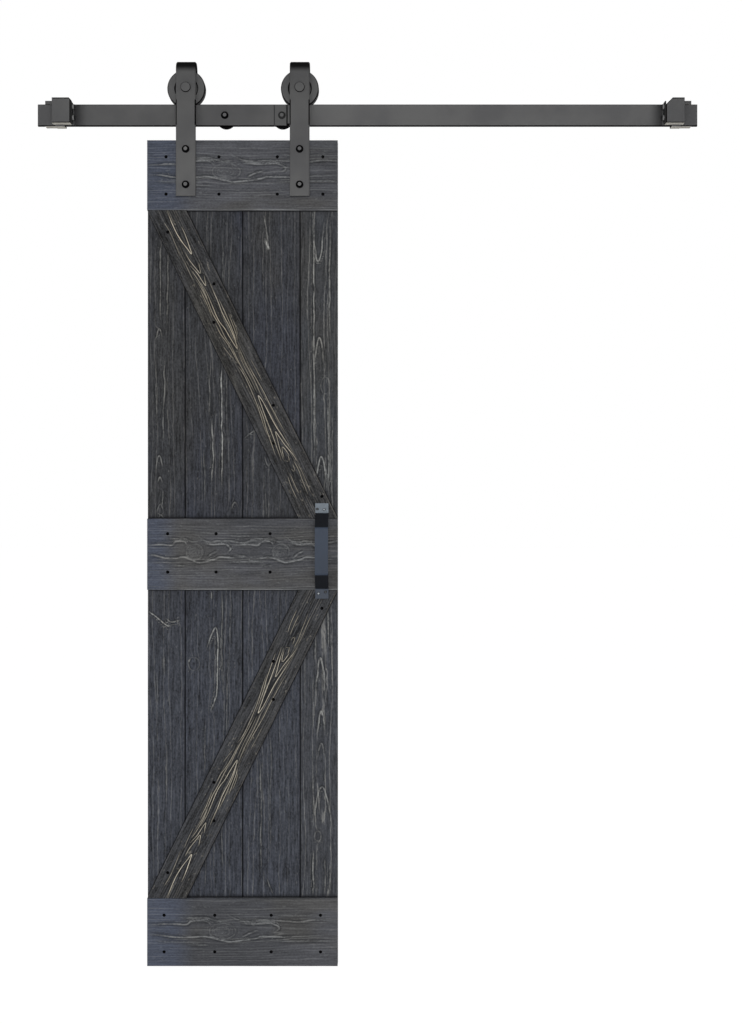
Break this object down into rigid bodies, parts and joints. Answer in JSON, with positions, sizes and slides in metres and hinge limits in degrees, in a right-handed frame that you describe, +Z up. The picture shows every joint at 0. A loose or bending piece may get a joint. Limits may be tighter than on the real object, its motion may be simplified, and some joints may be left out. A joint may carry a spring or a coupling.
{
  "type": "sliding barn door",
  "caption": "Narrow sliding barn door of dark stained planks with K bracing, hung by two bent strap hangers with grooved wheels on a flat wall rail with end stops.",
  "frame": {"origin": "middle of the joint spacer's wall face, at the rail's centre height", "axes": "+X along the rail to the right as seen from the front, +Y into the wall, +Z up; the front faces -Y"},
  "size_m": [1.7091, 0.094, 2.3398],
  "materials": {
    "rail_steel": "flat dark grey powder coat",
    "painted_steel": "flat dark grey powder coat",
    "bracket_steel": "flat dark grey powder coat",
    "strap_steel": "flat dark grey powder coat",
    "wheel_steel": "flat dark grey powder coat",
    "handle_steel": "satin dark grey powder coat",
    "bumper_rubber": "matte black rubber",
    "plank_wood": "charcoal stain over wire-brushed pine",
    "board_wood": "charcoal stain over wire-brushed pine",
    "brace_wood": "charcoal stain over wire-brushed pine"
  },
  "bodies": {
    "track": {"rail_left": "rail_steel", "rail_right": "rail_steel", "spacer_left": "painted_steel", "spacer_joint": "painted_steel", "lag_bolt_left": "painted_steel", "lag_bolt_joint": "painted_steel", "end_bracket_left": "bracket_steel", "end_bracket_right": "bracket_steel", "bumper_left": "bumper_rubber", "bumper_right": "bumper_rubber"},
    "door": {"plank_left": "plank_wood", "plank_inner_left": "plank_wood", "plank_inner_right": "plank_wood", "plank_right": "plank_wood", "top_board": "board_wood", "middle_board": "board_wood", "bottom_board": "board_wood", "upper_brace": "brace_wood", "lower_brace": "brace_wood", "pull_handle": "handle_steel", "hanger_strap_left": "strap_steel", "hanger_strap_right": "strap_steel", "hanger_bolts_left": "painted_steel", "hanger_bolts_right": "painted_steel", "hanger_nuts_left": "painted_steel", "hanger_nuts_right": "painted_steel", "axle_bolt_left": "painted_steel", "axle_bolt_right": "painted_steel", "axle_nut_left": "painted_steel", "axle_nut_right": "painted_steel"},
    "left wheel": {"wheel_left": "wheel_steel"},
    "right wheel": {"wheel_right": "wheel_steel"}
  },
  "joints": [
    {"name": "door_slide", "type": "slide", "parent": "track", "child": "door", "axis": [1, 0, 0], "range_m": [-0.252, 0.9018]},
    {"name": "left_wheel_roll", "type": "hinge", "parent": "door", "child": "left wheel", "pos_m": [-0.2469, -0.04, 0.0672], "axis": [0, 1, 0], "range_deg": [-375, 1335]},
    {"name": "right_wheel_roll", "type": "hinge", "parent": "door", "child": "right wheel", "pos_m": [0.0469, -0.04, 0.0672], "axis": [0, 1, 0], "range_deg": [-375, 1335]}
  ],
  "couplings": [
    {"joint": "left_wheel_roll", "follows": "door_slide", "rad_per_m": 25.707},
    {"joint": "right_wheel_roll", "follows": "door_slide", "rad_per_m": 25.707}
  ]
}
